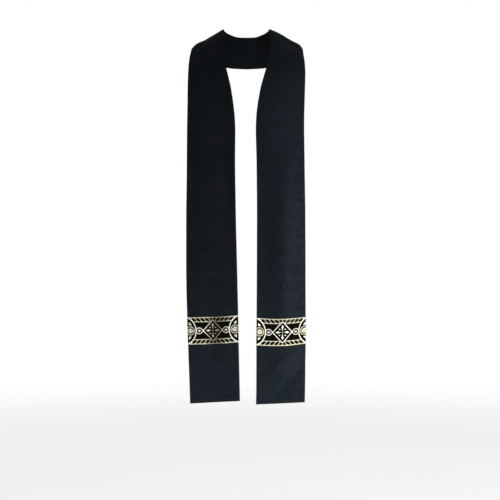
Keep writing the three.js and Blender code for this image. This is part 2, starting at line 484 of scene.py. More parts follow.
def lozengeAt(x, y, halfWidth, halfHeight):
    # Distance to the slanting side of a lozenge, for points with x and y above 0
    return (x * halfHeight + y * halfWidth - halfWidth * halfHeight) / math.hypot(halfWidth, halfHeight)


def starAt(x, y, halfLength, halfWidth, power):
    # A four-pointed shape, |x/a|^p + |y/b|^p = 1: p under 1 hollows its sides, over 1 rounds them
    size = (np.abs(x / halfLength)**power + np.abs(y / halfWidth)**power)**(1 / power)
    return (size - 1) * min(halfLength, halfWidth) * 0.7


def dropAt(x, y, centreX, radius, pointX):
    # A round drop drawn out to a point on the long axis: the disc, and its two tangents up to
    # where they touch it
    reach = centreX - pointX
    sine = radius / reach
    cosine = math.sqrt(1 - sine**2)
    fromPoint = x - pointX
    wedge = y * cosine - fromPoint * sine
    touch = fromPoint * cosine + y * sine
    return np.where(touch < reach * cosine, wedge, discAt(x, y, centreX, 0, radius))


def crossFigure(x, y):
    # Four arms with pointed heads, a bead in the middle, and four beads between the arms, each
    # clear of the arms by a dark ring
    def arm(along, off, head, stem):
        # A pointed head joined to its stem
        place, length, breadth = head
        pointed = starAt(along - place, off, length, breadth, motif["headPower"])
        place, length = stem
        return np.minimum(pointed, np.maximum(off - motif["stemHalf"], np.abs(along - place) - length))

    arms = np.minimum(arm(y, x, motif["crossUp"], motif["crossUpStem"]),
                      arm(x, y, motif["crossSide"], motif["crossSideStem"]))
    bead = discAt(x, y, *motif["bead"])
    arms = np.maximum(arms, -(bead - motif["beadGap"]))
    return np.minimum(np.minimum(arms, bead), discAt(x, y, 0, 0, motif["middleBead"]))


def roundelFigure(x, y):
    # A ring cut off by the end of the band. On each of its axes lies a shell, a gold line round
    # a split bud, and between the axes a three-cornered leaf. The last result is its whole disc.
    px, py = motif["roundelX"] - x, y
    radius = np.hypot(px, py)
    ringRadius, ringHalf = motif["ring"]
    ring = np.abs(radius - ringRadius) - ringHalf
    turn = np.arctan2(py, px)
    quarter = np.abs((turn + np.pi / 4) % (np.pi / 2) - np.pi / 4)  # 0 on an axis, 45 degrees between
    alongAxis, offAxis = radius * np.cos(quarter), radius * np.sin(quarter)
    place, shellRadius, shellHalf = motif["shell"]
    shell = np.abs(discAt(alongAxis, offAxis, place, 0, shellRadius)) - shellHalf
    bud = starAt(alongAxis - place, offAxis, *motif["bud"])
    slitPlace, slitHalf, slitEnd = motif["slit"]
    slit = np.maximum(np.abs(offAxis - slitPlace) - slitHalf, alongAxis - slitEnd)
    bud = np.maximum(bud, -slit)
    leafX, leafY, leafReach = motif["leaf"]
    leaf = np.maximum(np.maximum(leafX - px, leafY - py), (px + py - leafReach) / math.sqrt(2))
    return np.minimum(ring, leaf), shell, bud, radius - motif["roundelEdge"]


def ropeRow(x, y):
    # Dark slanting dashes with rounded corners at an even pitch: |u/a|^3 + |v/b|^3 = 1 in each,
    # with u along the row and slanted, v across it
    pitch = motif["ropePitch"]
    dashLength, dashHeight = motif["ropeDash"]
    u = (x + motif["ropeSlant"] * y + motif["ropeStart"]) % pitch - pitch / 2
    size = (np.abs(u / dashLength)**3 + np.abs(y / dashHeight)**3)**(1 / 3)
    return (1 - size) * dashHeight


def galloonFigure(x, y):
    # x and y from the middle of the lozenge, the same in all four quarters. Shapes join by the
    # smaller distance and are cut by the larger. The second result is 1 on the deeper gold of the
    # borders and shells, 0 on the pale gold of the lines, and budTone on the buds.
    x, y = np.abs(x), np.abs(y)
    fromTop = galloon["height"] / 2 - y
    border = np.maximum(ropeRow(x, fromTop - motif["ropeMiddle"]), fromTop - motif["borderHeight"])
    lozenge = lozengeAt(x, y, *motif["lozenge"])
    gold = np.maximum(border, np.minimum(motif["lozengeGap"] - lozenge, motif["lozengeGapTop"] - y))
    lines = np.minimum(np.abs(lozenge) - motif["lozengeLine"], crossFigure(x, y))
    lineIn, lineHalf = motif["dropLine"]
    drop = np.abs(dropAt(x, y, *motif["drop"]) + lineIn) - lineHalf
    holeX, holeRadius = motif["eyeHole"]
    eye = np.maximum(dropAt(x, y, *motif["eye"]), -discAt(x, y, holeX, 0, holeRadius))
    lines = np.minimum(lines, np.minimum(drop, eye))
    ringAndLeaf, shell, bud, disc = roundelFigure(x, y)
    lines = np.minimum(np.maximum(lines, -disc), ringAndLeaf)
    deep = np.where(lines < motif["toneReach"], 0.0, 1.0)
    deep = np.where(bud < motif["toneReach"], motif["budTone"], deep)
    gold = np.maximum(gold, -disc)  # the roundel lies over the border
    return np.minimum(np.minimum(gold, lines), np.minimum(shell, bud)), deep


def galloonSag(label, across):
    # How much lower the band is sewn inside its ends: sag * sin(pi * across^lean)
    hang = galloon[label]
    return hang["sag"] * np.sin(np.pi * across**hang["lean"])


def galloonBand(name, label, half):
    # The strip's own surface between two heights, moved out, with the gold standing a little
    # above the black and the ends turned down
    make = galloon
    y = np.linspace(0.5, -0.5, make["rows"] + 1)[:, None] * make["height"]
    across = np.linspace(0, 1, make["columns"] + 1)[None, :]
    y, across = np.broadcast_arrays(y, across)
    share = half.shareAt(make["aboveHem"] + make["height"] / 2 + y - galloonSag(label, across))
    spot, outward, _, _ = half.frameAt(share, across)
    width = half.width(share)
    x = (across - 0.5) * width - make[label]["shift"]
    gold, deep = galloonFigure(x, y)
    sideGap = np.minimum(across, 1 - across) * width
    gap = np.minimum(sideGap, make["height"] / 2 - np.abs(y))
    rounded = np.sqrt(1 - (1 - np.clip(gap / make["edgeRound"], 0, 1))**2)
    endTurn = 1 - np.clip(sideGap / make["endWrapLength"], 0, 1)
    turned = make["endWrap"] * (1 - np.sqrt(1 - endTurn**2))
    raised = make["relief"] * smoothStep(-gold, *make["reliefEdge"])
    lift = make["clearance"] + clothMake["allowanceRise"] + make["thickness"] / 2 - turned
    face = spot + outward * (lift + rounded * (make["thickness"] / 2 + raised))[..., None]
    back = spot + outward * (lift - rounded * make["thickness"] / 2)[..., None]
    rows, columns = share.shape
    flip = half.side < 0
    quads = np.vstack([gridQuads(rows, columns, flip),
                       gridQuads(rows, columns, not flip) + rows * columns])
    uvs = np.tile(np.stack([half.side * x, y], axis=-1).reshape(-1, 2), (2, 1))
    vertices = np.vstack([face.reshape(-1, 3), back.reshape(-1, 3)])
    # Painted shade: a bell across the band, its middle swinging a little with height, where the gold
    # turns away from the light
    swing = make["shadeSwing"] * np.sin(y * 55)
    offset = (across - make[label]["shadeAcross"] + swing) / make["shadeBreadth"]
    paintedShade = make[label]["paintedShade"] * np.exp(-offset**4)
    figure = np.concatenate([gold.ravel(), np.full(gold.size, 0.01)]) * 1000  # millimetres
    values = {"figure": figure, "deep": np.tile(deep.ravel(), 2), "paintedShade": np.tile(paintedShade.ravel(), 2)}
    return buildMesh(name, vertices, quads, uvs, attributes=values, weld=weldReach)


# Stitches

stitchMake = {
    "pitch": 0.0034,
    "long": 0.0027,
    "thick": 0.00042,
    "bandThick": 0.00036,
    "proud": 0.00012,  # how far the middle of the thread stands over the cloth
    "endSink": 0.0003,
    "bandInset": 0.0014,
    "sides": 6,
    "rings": 5,
}


def stitchRow(name, half, share, across, lift, thick):
    # One stitch at each place: a round thread along the row, sunk at its ends by t^2 and
    # thinned by the root of 1 - t^4, with t from -1 to 1
    make = stitchMake
    spot, outward, along, over = half.frameAt(share, across)
    if np.ptp(across) > 0.5:
        along, over = over, along
    t = np.linspace(-1, 1, make["rings"])
    angle = np.arange(make["sides"]) / make["sides"] * 2 * np.pi
    bow = 1 - t**2
    girth = thick / 2 * np.sqrt(np.clip(1 - t**4, 0.05, 1))
    ring = spot[:, None, :] + (t * make["long"] / 2)[None, :, None] * along[:, None, :]
    ring = ring + (lift + (bow - 1) * make["endSink"])[None, :, None] * outward[:, None, :]
    side = np.cos(angle)[None, None, :, None] * over[:, None, None, :]
    rise = np.sin(angle)[None, None, :, None] * outward[:, None, None, :]
    vertices = ring[:, :, None, :] + girth[None, :, None, None] * (side + rise)
    count, rings, sides, _ = vertices.shape
    index = np.arange(rings * sides).reshape(rings, sides)
    turned = np.roll(index, -1, axis=1)
    quads = np.stack([index[:-1], index[1:], turned[1:], turned[:-1]], axis=-1).reshape(-1, 4)
    first, last = index[0], index[-1]
    caps = [first[[0, 1, 2, 3]], first[[3, 4, 5, 0]], last[[3, 2, 1, 0]], last[[0, 5, 4, 3]]]
    one = np.vstack([quads, caps])
    quads = (one[None] + (np.arange(count) * rings * sides)[:, None, None]).reshape(-1, 4)
    thing = buildMesh(name, vertices.reshape(-1, 3), quads)
    fixed = bmesh.new()
    fixed.from_mesh(thing.data)
    bmesh.ops.recalc_face_normals(fixed, faces=fixed.faces)
    fixed.to_mesh(thing.data)
    fixed.free()
    return thing


def edgeStitches(name, half):
    # Both long edges and the hem, in one mesh
    make = clothMake
    inset = make["topstitchIn"]
    up = np.arange(inset, half.length - 0.002, stitchMake["pitch"])
    share = half.shareAt(up)
    width = half.width(share)
    hemShare = half.shareAt(inset)
    hemWidth = half.width(hemShare)
    hemAcross = np.arange(inset + 0.003, hemWidth - inset - 0.002, stitchMake["pitch"]) / hemWidth
    lift = make["allowanceRise"] - make["topstitchSink"] + stitchMake["proud"]
    thick = stitchMake["thick"]
    hemShares = np.full(hemAcross.shape, float(hemShare))
    rows = [
        stitchRow(name, half, share, inset / width, lift, thick),
        stitchRow(name, half, share, 1 - inset / width, lift, thick),
        stitchRow(name, half, hemShares, hemAcross, lift, thick),
    ]
    return joinThings(name, rows)


def bandStitches(name, label, half):
    # A row along each long edge of the band
    make = galloon
    inset = stitchMake["bandInset"]
    top = make["clearance"] + clothMake["allowanceRise"] + make["thickness"] + stitchMake["proud"]
    rows = []
    for up in (make["aboveHem"] + inset, make["aboveHem"] + make["height"] - inset):
        width = half.width(half.shareAt(up))
        across = np.arange(0.004, width - 0.004, stitchMake["pitch"]) / width
        share = half.shareAt(up - galloonSag(label, across))
        rows.append(stitchRow(name, half, share, across, top, stitchMake["bandThick"]))
    return joinThings(name, rows)


def joinThings(name, things):
    # All the meshes in the first one
    first = things[0]
    with bpy.context.temp_override(active_object=first, selected_editable_objects=things, object=first):
        bpy.ops.object.join()
    first.name = name
    first.data.name = name
    return first


# Shader nodes

def newGroup(name, inputs, outputs):
    # A shader group with named inputs and outputs
    tree = bpy.data.node_groups.new(name, "ShaderNodeTree")
    for label, kind, value in inputs:
        socket = tree.interface.new_socket(label, in_out="INPUT", socket_type=kind)
        if value is not None:
            socket.default_value = value
    for label, kind in outputs:
        tree.interface.new_socket(label, in_out="OUTPUT", socket_type=kind)
    return tree, tree.nodes.new("NodeGroupInput").outputs, tree.nodes.new("NodeGroupOutput").inputs


def calculator(tree):
    # calc("ADD", a, b) is a Math node whose inputs are numbers or other nodes' outputs
    def calc(operation, *values):
        node = tree.nodes.new("ShaderNodeMath")
        node.operation = operation
        for slot, value in enumerate(values):
            if isinstance(value, (int, float)):
                node.inputs[slot].default_value = value
            else:
                tree.links.new(value, node.inputs[slot])
        return node.outputs[0]
    return calc


def ramp(tree, value, low, high, outLow=0.0, outHigh=1.0):
    # A smooth change from outLow to outHigh while value goes from low to high
    node = tree.nodes.new("ShaderNodeMapRange")
    node.interpolation_type = "SMOOTHSTEP"
    tree.links.new(value, node.inputs["Value"])
    numbers = {"From Min": low, "From Max": high, "To Min": outLow, "To Max": outHigh}
    for label, number in numbers.items():
        node.inputs[label].default_value = number
    return node.outputs["Result"]


def noiseAt(tree, vector, scale, detail=2.0, roughness=0.5, stretch=(1, 1, 1)):
    # Noise from 0 to 1, finer where stretch is larger
    mapping = tree.nodes.new("ShaderNodeMapping")
    mapping.inputs["Scale"].default_value = stretch
    tree.links.new(vector, mapping.inputs["Vector"])
    node = tree.nodes.new("ShaderNodeTexNoise")
    node.inputs["Scale"].default_value = scale
    node.inputs["Detail"].default_value = detail
    node.inputs["Roughness"].default_value = roughness
    tree.links.new(mapping.outputs["Vector"], node.inputs["Vector"])
    return node.outputs["Fac"]


def mixColours(tree, share, first, second):
    # The first colour where share is 0, the second where it is 1
    node = tree.nodes.new("ShaderNodeMix")
    node.data_type = "RGBA"
    for slot, value in ((0, share), (6, first), (7, second)):
        if isinstance(value, (int, float, tuple)):
            node.inputs[slot].default_value = value
        else:
            tree.links.new(value, node.inputs[slot])
    return node.outputs[2]


damaskSizes = {
    "repeat": (0.062, 0.116),
    "scallops": (5.0, 0.0016),  # how many and how deep
    "outerRing": (0.0146, 0.0008),  # radius and half its breadth
    "innerRing": (0.0118, 0.0005),
    "rosette": (8, 0.0096),  # petals and reach
    "rosetteHollow": (0.0024, 0.0030),
    "rosetteEye": (0.0012, 0.0018, 1.0, 0.0),
    "leaf": (0.0280, 0.0110, 0.0034),  # place, half length and half width
    "leafEdge": (0.93, 1.03, 0.55, 0.0),
    "leafVein": (0.0003, 0.0007),
    "smallRing": (0.0098, 0.0006),
    "smallFlower": (4, 0.0074),
    "netBud": (6, 0.0066),
    "netSwing": 0.052,
    "netLines": 0.13,  # how far the two lines of the net lie from its middle
    "netEdge": (0.035, 0.065, 1.0, 0.0),
    "soft": 0.0003,
}


def damaskGroup():
    # A small half-drop damask: rosettes in rings, small rings between them, leaves above and
    # below, and a net of curved double lines with buds where they cross. Figure is 1 on the
    # satin figure and 0 on the ground.
    make = damaskSizes
    soft = make["soft"]
    tree, given, out = newGroup(
        "damaskFigure",
        [("Vector", "NodeSocketVector", None), ("Repeat Width", "NodeSocketFloat", make["repeat"][0]),
         ("Repeat Height", "NodeSocketFloat", make["repeat"][1])],
        [("Figure", "NodeSocketFloat")])
    calc = calculator(tree)
    split = tree.nodes.new("ShaderNodeSeparateXYZ")
    tree.links.new(given["Vector"], split.inputs[0])
    width, height = given["Repeat Width"], given["Repeat Height"]
    cellX = calc("DIVIDE", split.outputs[0], width)
    cellY = calc("DIVIDE", split.outputs[1], height)

    def nearest(cell, offset, size):
        # Distance in metres from the nearest point of one lattice
        part = calc("FRACT", calc("ADD", cell, 0.5 + offset))
        return calc("MULTIPLY", calc("SUBTRACT", part, 0.5), size)

    def local(offsetX, offsetY):
        # That distance along both axes
        return nearest(cellX, offsetX, width), nearest(cellY, offsetY, height)

    def polar(offsets):
        # Radius and bearing from the nearest point
        x, y = local(*offsets)
        radius = calc("SQRT", calc("ADD", calc("MULTIPLY", x, x), calc("MULTIPLY", y, y)))
        return radius, calc("ARCTAN2", y, x)

    def band(value, middle, half):
        # A line of half breadth half where the value is middle
        away = calc("ABSOLUTE", calc("SUBTRACT", value, middle))
        return ramp(tree, away, half - soft, half + soft, 1.0, 0.0)

    def flower(radius, bearing, petals, reach):
        # Petals where the radius is under reach times the size of the cosine to 0.6
        swing = calc("ABSOLUTE", calc("COSINE", calc("MULTIPLY", bearing, petals / 2)))
        tip = calc("MULTIPLY", calc("POWER", swing, 0.6), reach)
        return ramp(tree, calc("SUBTRACT", radius, tip), -soft, soft, 1.0, 0.0)

    parts = []
    for offsets in ((0.0, 0.0), (0.5, 0.5)):
        radius, bearing = polar(offsets)
        scallops, depth = make["scallops"]
        scallop = calc("ABSOLUTE", calc("SINE", calc("MULTIPLY", bearing, scallops)))
        scalloped = calc("SUBTRACT", radius, calc("MULTIPLY", scallop, depth))
        parts.append(band(scalloped, *make["outerRing"]))
        parts.append(band(radius, *make["innerRing"]))
        petals = flower(radius, bearing, *make["rosette"])
        parts.append(calc("MULTIPLY", petals, ramp(tree, radius, *make["rosetteHollow"])))
        parts.append(ramp(tree, radius, *make["rosetteEye"]))
        # leaves above and below, |x| / half width + ((|y| - place) / half length)^2 under 1
        x, y = (calc("ABSOLUTE", part) for part in local(*offsets))
        place, length, breadth = make["leaf"]
        rise = calc("DIVIDE", calc("SUBTRACT", y, place), length)
        leaf = calc("ADD", calc("DIVIDE", x, breadth), calc("MULTIPLY", rise, rise))
        leaf = ramp(tree, leaf, *make["leafEdge"])
        parts.append(calc("MULTIPLY", leaf, ramp(tree, x, *make["leafVein"])))
    for offsets in ((0.5, 0.0), (0.0, 0.5)):
        radius, bearing = polar(offsets)
        parts.append(band(radius, *make["smallRing"]))
        parts.append(flower(radius, bearing, *make["smallFlower"]))
    # The net is where cos(2 pi x) + cos(2 pi y') is near 0, with y' swung so that it curves
    swing = calc("MULTIPLY", calc("SINE", calc("MULTIPLY", cellY, 4 * math.pi)), make["netSwing"])
    waveX = calc("COSINE", calc("MULTIPLY", cellX, 2 * math.pi))
    waveY = calc("COSINE", calc("MULTIPLY", calc("ADD", cellY, swing), 2 * math.pi))
    net = calc("ABSOLUTE", calc("ADD", waveX, waveY))
    lines = calc("ABSOLUTE", calc("SUBTRACT", net, make["netLines"]))
    parts.append(ramp(tree, lines, *make["netEdge"]))
    for offsets in ((0.25, 0.25), (0.75, 0.25), (0.25, 0.75), (0.75, 0.75)):
        parts.append(flower(*polar(offsets), *make["netBud"]))
    figure = parts[0]
    for part in parts[1:]:
        figure = calc("MAXIMUM", figure, part)
    tree.links.new(figure, out["Figure"])
    return tree


def weaveGroup():
    # Threads as ribs: Height is (1 + sine of the place over the pitch) / 2, 1 on a thread, and
    # Streak is the slow unevenness from thread to thread. Turn 1 lays the threads crosswise.
    tree, given, out = newGroup(
        "threadWeave",
        [("Vector", "NodeSocketVector", None), ("Pitch", "NodeSocketFloat", 0.0005),
         ("Slant", "NodeSocketFloat", 0.0), ("Turn", "NodeSocketFloat", 0.0)],
        [("Height", "NodeSocketFloat"), ("Streak", "NodeSocketFloat")])
    calc = calculator(tree)
    split = tree.nodes.new("ShaderNodeSeparateXYZ")
    tree.links.new(given["Vector"], split.inputs[0])
    x, y = split.outputs[0], split.outputs[1]
    turn = given["Turn"]
    keep = calc("SUBTRACT", 1.0, turn)
    sideways = calc("ADD", calc("MULTIPLY", x, keep), calc("MULTIPLY", y, turn))
    lengthways = calc("ADD", calc("MULTIPLY", y, keep), calc("MULTIPLY", x, turn))
    slanted = calc("ADD", sideways, calc("MULTIPLY", lengthways, given["Slant"]))
    run = calc("DIVIDE", slanted, given["Pitch"])
    rib = calc("MULTIPLY_ADD", calc("SINE", calc("MULTIPLY", run, 2 * math.pi)), 0.5, 0.5)
    tree.links.new(rib, out["Height"])
    joined = tree.nodes.new("ShaderNodeCombineXYZ")
    tree.links.new(sideways, joined.inputs[0])
    tree.links.new(lengthways, joined.inputs[1])
    tree.links.new(noiseAt(tree, joined.outputs[0], 700.0, 2.0, 0.6, (1.0, 0.06, 1.0)), out["Streak"])
    return tree


def wearGroup():
    # Slow unevenness of the nap, and sparse lint: Nap is two noises added, 0 to 1 about a half,
    # and Lint is 1 on a speck
    tree, given, out = newGroup(
        "clothWear",
        [("Vector", "NodeSocketVector", None), ("Size", "NodeSocketFloat", 9.0)],
        [("Nap", "NodeSocketFloat"), ("Lint", "NodeSocketFloat")])
    calc = calculator(tree)
    broad = tree.nodes.new("ShaderNodeTexNoise")
    broad.inputs["Detail"].default_value = 3.0
    tree.links.new(given["Vector"], broad.inputs["Vector"])
    tree.links.new(given["Size"], broad.inputs["Scale"])
    fine = noiseAt(tree, given["Vector"], 130.0, 3.0)
    nap = calc("MULTIPLY_ADD", fine, 0.35, calc("MULTIPLY", broad.outputs["Fac"], 0.65))
    tree.links.new(nap, out["Nap"])
    specks = noiseAt(tree, given["Vector"], 900.0, 1.0, 0.5, (1.0, 0.35, 1.0))
    tree.links.new(ramp(tree, specks, 0.80, 0.84), out["Lint"])
    return tree


def useGroup(tree, group, **values):
    # The group placed in a material, its inputs set to numbers or linked
    node = tree.nodes.new("ShaderNodeGroup")
    node.node_tree = group
    for label, value in values.items():
        socket = node.inputs[label.replace("_", " ")]
        if isinstance(value, (int, float)):
            socket.default_value = value
        else:
            tree.links.new(value, socket)
    return node.outputs


def newMaterial(name, **numbers):
    # A material whose plain numbers and colours are set on the shader itself
    material = bpy.data.materials.new(name)
    material.use_nodes = True
    tree = material.node_tree
    shader = tree.nodes["Principled BSDF"]
    for label, value in numbers.items():
        shader.inputs[label.replace("_", " ")].default_value = value
    return material, tree, shader


def cutVector(tree):
    node = tree.nodes.new("ShaderNodeUVMap")
    node.uv_map = "cut"
    return node.outputs["UV"]


def attributeValue(tree, name):
    node = tree.nodes.new("ShaderNodeAttribute")
    node.attribute_name = name
    return node.outputs["Fac"]


def bumpFrom(tree, height, distance, strength=1.0):
    # Fine relief from a height of 0 to 1 over a distance in metres
    node = tree.nodes.new("ShaderNodeBump")
    node.inputs["Distance"].default_value = distance
    node.inputs["Strength"].default_value = strength
    tree.links.new(height, node.inputs["Height"])
    return node.outputs["Normal"]


damask = damaskGroup()
weave = weaveGroup()
wear = wearGroup()

damaskLook = {
    "ground": (0.0026, 0.0043, 0.0056, 1.0),
    "figure": (0.0059, 0.0087, 0.0109, 1.0),
    "faded": (0.0068, 0.0088, 0.0108, 1.0),
    "slate": (0.0066, 0.0056, 0.0092, 1.0),
    "teal": (0.0034, 0.0062, 0.0056, 1.0),
    "lint": (0.050, 0.053, 0.056, 1.0),
    "groundRoughness": 0.66,
    "figureRoughness": 0.49,
    "napRoughness": 0.25,
    "bumpDepth": 0.00012,
    # from and to of a noise, then the shares at both ends
    "figureWorn": (0.38, 0.56, 0.55, 1.0),
    "toFaded": (0.40, 0.72, 0.0, 0.42),
    "toSlate": (0.44, 0.60, 0.0, 0.8),
    "toTeal": (0.46, 0.62, 0.0, 0.7),
    "toGround": (0.45, 0.75, 0.0, 0.35),
}


def damaskMaterial():
    # Warp threads on the ground and weft threads on the figure, in slowly drifting blacks
    look = damaskLook
    material, tree, shader = newMaterial(
        "blackDamask", Specular_IOR_Level=0.13, Specular_Tint=(0.60, 0.82, 1.0, 1.0),
        Sheen_Weight=0.02, Sheen_Roughness=0.4, Sheen_Tint=(0.75, 0.85, 1.0, 1.0))
    calc = calculator(tree)
    cut = cutVector(tree)
    wide, high = damaskSizes["repeat"]
    figure = useGroup(tree, damask, Vector=cut, Repeat_Width=wide, Repeat_Height=high)["Figure"]
    # worn flat in patches, where the figure shows less
    patches = noiseAt(tree, cut, 6.0, 3.0, 0.6, (1.0, 0.7, 1.0))
    figure = calc("MULTIPLY", figure, ramp(tree, patches, *look["figureWorn"]))
    warp = useGroup(tree, weave, Vector=cut, Pitch=0.00055, Slant=0.35)
    weft = useGroup(tree, weave, Vector=cut, Pitch=0.00065, Slant=0.2, Turn=1.0)
    worn = useGroup(tree, wear, Vector=cut, Size=7.0)
    height = calc("ADD", calc("MULTIPLY", weft["Height"], figure),
                  calc("MULTIPLY", warp["Height"], calc("SUBTRACT", 1.0, figure)))
    streak = calc("MULTIPLY_ADD", warp["Streak"], 0.5, calc("MULTIPLY", weft["Streak"], 0.5))
    colour = mixColours(tree, figure, look["ground"], look["figure"])
    colour = mixColours(tree, ramp(tree, worn["Nap"], *look["toFaded"]), colour, look["faded"])
    # slow drifts of the dye towards slate and towards teal
    drift = noiseAt(tree, cut, 7.0, 2.5, 0.55, (1.0, 0.8, 1.0))
    colour = mixColours(tree, ramp(tree, drift, *look["toSlate"]), colour, look["slate"])
    drift = noiseAt(tree, cut, 10.0, 2.5, 0.55, (1.0, 0.6, 1.0))
    colour = mixColours(tree, ramp(tree, drift, *look["toTeal"]), colour, look["teal"])
    colour = mixColours(tree, ramp(tree, streak, *look["toGround"]), colour, look["ground"])
    colour = mixColours(tree, worn["Lint"], colour, look["lint"])
    tree.links.new(colour, shader.inputs["Base Color"])
    rough = calc("SUBTRACT", look["groundRoughness"],
                 calc("MULTIPLY", figure, look["groundRoughness"] - look["figureRoughness"]))
    uneven = calc("MULTIPLY", calc("SUBTRACT", worn["Nap"], 0.5), look["napRoughness"])
    rough = calc("ADD", rough, uneven)
    tree.links.new(rough, shader.inputs["Roughness"])
    threads = calc("ADD", calc("MULTIPLY", height, 0.5), calc("MULTIPLY", figure, 0.8))
    threads = calc("ADD", threads, calc("MULTIPLY", streak, 0.6))
    tree.links.new(bumpFrom(tree, threads, look["bumpDepth"], 0.8), shader.inputs["Normal"])
    return material


reverseLook = {
    "dark": (0.0036, 0.0045, 0.0054, 1.0),
    "light": (0.0062, 0.0074, 0.0086, 1.0),
    "roughness": 0.58,
}


def reverseMaterial():
    # Plain black twill on the side that lies against the wearer
    look = reverseLook
    material, tree, shader = newMaterial(
        "blackReverse", Specular_IOR_Level=0.10, Specular_Tint=(0.70, 0.86, 1.0, 1.0),
        Sheen_Weight=0.02, Sheen_Roughness=0.4, Sheen_Tint=(0.75, 0.85, 1.0, 1.0))
    calc = calculator(tree)
    cut = cutVector(tree)
    twill = useGroup(tree, weave, Vector=cut, Pitch=0.0007, Slant=0.8)
    worn = useGroup(tree, wear, Vector=cut, Size=11.0)
    colour = mixColours(tree, ramp(tree, worn["Nap"], 0.35, 0.75), look["dark"], look["light"])
    tree.links.new(colour, shader.inputs["Base Color"])
    rough = calc("MULTIPLY_ADD", worn["Nap"], 0.2, look["roughness"])
    tree.links.new(rough, shader.inputs["Roughness"])
    height = calc("ADD", twill["Height"], calc("MULTIPLY", twill["Streak"], 0.7))
    tree.links.new(bumpFrom(tree, height, 0.0001, 0.7), shader.inputs["Normal"])
    return material


galloonLook = {
    "paleGold": (0.91, 0.895, 0.78, 1.0),
    "gold": (0.585, 0.565, 0.41, 1.0),
    "goldShade": (0.17, 0.155, 0.095, 1.0),
    "black": (0.0030, 0.0029, 0.0017, 1.0),
    "gloss": 0.012,
    "metal": 0.45,
    "goldRoughness": 0.44,
    # how far the painted shade darkens the gold
    "shadeStrength": 0.84,
    "blackRoughness": 0.62,
    "threadRoughness": 0.2,
    "bumpDepth": 0.00014,
    # from and to, then the shares at both ends
    "goldEdge": (-0.16, 0.16, 1.0, 0.0),  # millimetres
    "streaks": (0.30, 0.55, 0.45, 0.0),
    "patches": (0.48, 0.78, 0.0, 0.30),
    "shadeNoise": (0.25, 0.60, 0.75, 1.0),
}


def galloonMaterial():
    # Metal thread where the figure is under 0, black ground over 0
    look = galloonLook
    material, tree, shader = newMaterial("goldGalloon", Specular_IOR_Level=look["gloss"])
    calc = calculator(tree)
    cut = cutVector(tree)
    gold = ramp(tree, attributeValue(tree, "figure"), *look["goldEdge"])
    thread = useGroup(tree, weave, Vector=cut, Pitch=0.0006, Slant=0.5)
    ground = useGroup(tree, weave, Vector=cut, Pitch=0.0007, Slant=0.1, Turn=1.0)
    worn = useGroup(tree, wear, Vector=cut, Size=40.0)
    metal = mixColours(tree, attributeValue(tree, "deep"), look["paleGold"], look["gold"])
    metal = mixColours(tree, ramp(tree, thread["Streak"], *look["streaks"]), metal, look["goldShade"])
    metal = mixColours(tree, ramp(tree, worn["Nap"], *look["patches"]), metal, look["goldShade"])
    # Painted shade: the gold darkened towards goldShade where the band's attribute marks the patch
    # turned away from the light, broken up by the nap noise
    shadeMask = ramp(tree, worn["Nap"], *look["shadeNoise"])
    shadeMask = calc("MULTIPLY", attributeValue(tree, "paintedShade"), shadeMask)
    metal = mixColours(tree, calc("MULTIPLY", shadeMask, look["shadeStrength"]), metal, look["goldShade"])
    tree.links.new(mixColours(tree, gold, look["black"], metal), shader.inputs["Base Color"])
    tree.links.new(calc("MULTIPLY", gold, look["metal"]), shader.inputs["Metallic"])
    rough = calc("SUBTRACT", look["blackRoughness"],
                 calc("MULTIPLY", gold, look["blackRoughness"] - look["goldRoughness"]))
    uneven = calc("MULTIPLY", calc("SUBTRACT", thread["Streak"], 0.5), look["threadRoughness"])
    rough = calc("ADD", rough, uneven)
    tree.links.new(rough, shader.inputs["Roughness"])
    height = calc("ADD", calc("MULTIPLY", thread["Height"], gold),
                  calc("MULTIPLY", ground["Height"], calc("SUBTRACT", 1.0, gold)))
    tree.links.new(bumpFrom(tree, height, look["bumpDepth"], 0.8), shader.inputs["Normal"])
    return material


threadLook = {
    # light, dark, metallic
    "blackThread": ((0.030, 0.034, 0.040, 1.0), (0.010, 0.011, 0.013, 1.0), 0.0),
    "goldThread": ((0.62, 0.55, 0.36, 1.0), (0.26, 0.21, 0.11, 1.0), 0.3),
}


def threadMaterial(name):
    # Sewing thread: fine turns along the stitch, on Object coordinates
    light, dark, metallic = threadLook[name]
    material, tree, shader = newMaterial(name, Specular_IOR_Level=0.4, Metallic=metallic, Roughness=0.5)
    coordinates = tree.nodes.new("ShaderNodeTexCoord")
    strands = noiseAt(tree, coordinates.outputs["Object"], 2600.0, 2.0, 0.6)
    colour = mixColours(tree, ramp(tree, strands, 0.35, 0.65), dark, light)
    tree.links.new(colour, shader.inputs["Base Color"])
    tree.links.new(bumpFrom(tree, strands, 0.00005, 0.6), shader.inputs["Normal"])
    return material


blackDamask = damaskMaterial()
blackReverse = reverseMaterial()
goldGalloon = galloonMaterial()
blackThread = threadMaterial("blackThread")
goldThread = threadMaterial("goldThread")
print("stole: materials made")


# Dressing the frame

for label, half in (("left", leftHalf), ("right", rightHalf)):
    cloth = clothShell(label + "_cloth", half)
    cloth.data.materials.append(blackDamask)
    cloth.data.materials.append(blackReverse)
    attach(cloth, "root")
    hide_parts(label + "_half")

    stitching = edgeStitches(label + "_edge_stitching", half)
    stitching.data.materials.append(blackThread)
    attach(stitching, "root")

    band = galloonBand(label + "_galloon", label, half)
    band.data.materials.append(goldGalloon)
    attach(band, "root")
    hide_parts(label + "_band")

    sewing = bandStitches(label + "_galloon_stitching", label, half)
    sewing.data.materials.append(goldThread)
    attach(sewing, "root")

    cutWidth, cutLength = (float(size) for size in half.cutSize)
    bandWidth = float(half.width(half.shareAt(galloon["aboveHem"] + galloon["height"] / 2)))
    faces = len(cloth.data.polygons), len(band.data.polygons)
    print("stole:", label, "half dressed,", faces[0], "and", faces[1], "faces")


# Floor, light and camera

stage = {
    "floorZ": -1.56,
    "floorSize": 60.0,
    "nearRadius": 1.6,
    "farRadius": 4.0,
    "background": 1.0,
    "floorGlow": 0.80,
    "ambient": 0.32,
    "aim": (0.0, -0.1, -0.6),
}


